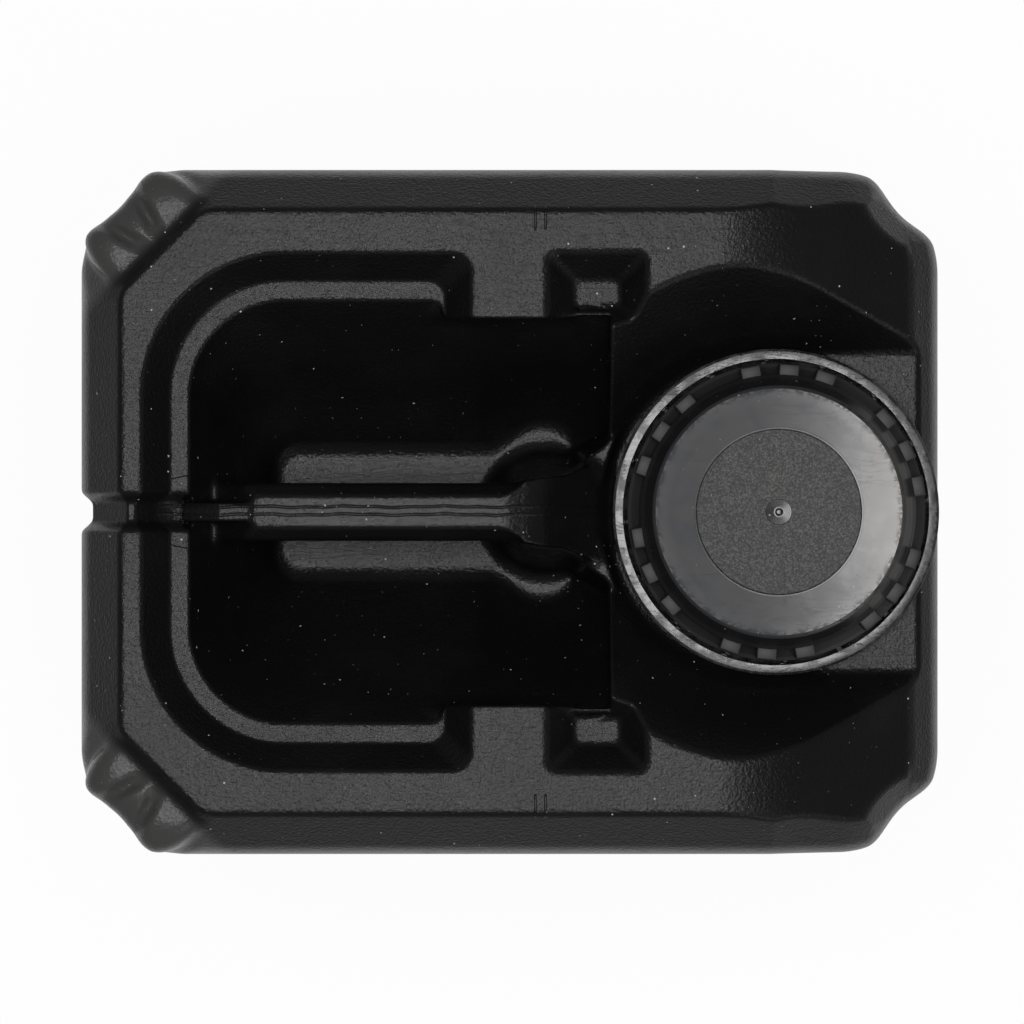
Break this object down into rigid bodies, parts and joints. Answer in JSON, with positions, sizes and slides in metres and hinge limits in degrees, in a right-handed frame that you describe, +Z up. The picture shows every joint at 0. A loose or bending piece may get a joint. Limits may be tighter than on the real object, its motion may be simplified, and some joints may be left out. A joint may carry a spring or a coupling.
{
  "type": "hydraulic oil jug",
  "caption": "Empty black stackable oil jug of blow moulded plastic, with a handle sunk in its top, a threaded neck, a screw cap and its tamper ring.",
  "frame": {"origin": "centre of the box round the part, at the height of the face it stands on", "axes": "+X from the handle towards the neck, +Y across the jug, +Z up through the stacking face"},
  "size_m": [0.19, 0.151, 0.222],
  "materials": {
    "jug_plastic": "satin, finely grained",
    "cap_plastic": "semi gloss, worn",
    "disc_foam": "matt foam"
  },
  "bodies": {
    "jug": {"jug_body": "jug_plastic", "tamper_ring": "cap_plastic"},
    "disc": {"sealing_disc": "disc_foam"},
    "cap": {"screw_cap": "cap_plastic"}
  },
  "joints": [
    {"name": "cap_lift", "type": "slide", "parent": "jug", "child": "disc", "axis": [0, 0, 1], "range_m": [0, 0.024]},
    {"name": "cap_turn", "type": "hinge", "parent": "disc", "child": "cap", "pos_m": [0.0582, 0, 0.21], "axis": [0, 0, 1], "range_deg": [0, 1440]}
  ],
  "couplings": [
    {"joint": "cap_turn", "follows": "cap_lift", "rad_per_m": 1047.2}
  ]
}
